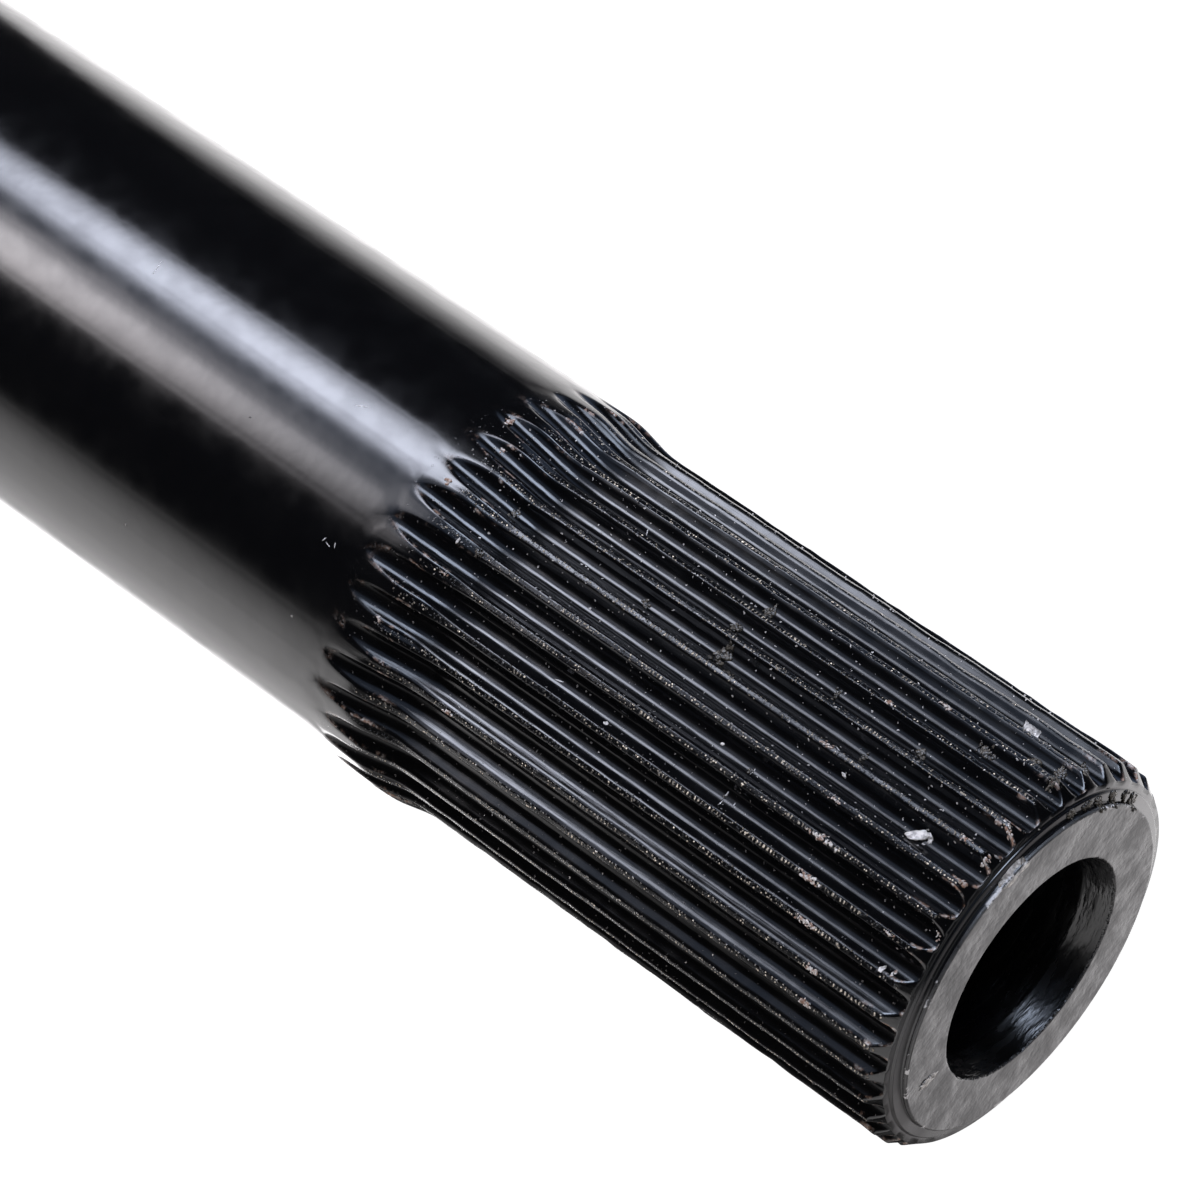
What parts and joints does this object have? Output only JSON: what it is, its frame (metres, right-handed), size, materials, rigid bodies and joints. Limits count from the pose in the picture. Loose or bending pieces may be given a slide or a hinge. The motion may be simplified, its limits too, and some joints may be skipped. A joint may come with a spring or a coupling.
{
  "type": "steering shaft",
  "caption": "Hollow steering shaft: a thick walled steel tube, painted gloss black, with a serrated end for a clamped coupling and a plain end.",
  "frame": {"origin": "centre of the plain end's face, on the surface the shaft stands on", "axes": "+Z along the shaft, from the plain end up to the serrated end; a groove's middle lies on +X"},
  "size_m": [0.02, 0.02, 0.3],
  "materials": {
    "black_paint": "gloss black paint, dusty in the grooves"
  },
  "bodies": {
    "root": {"steering_shaft": "black_paint"}
  },
  "joints": []
}
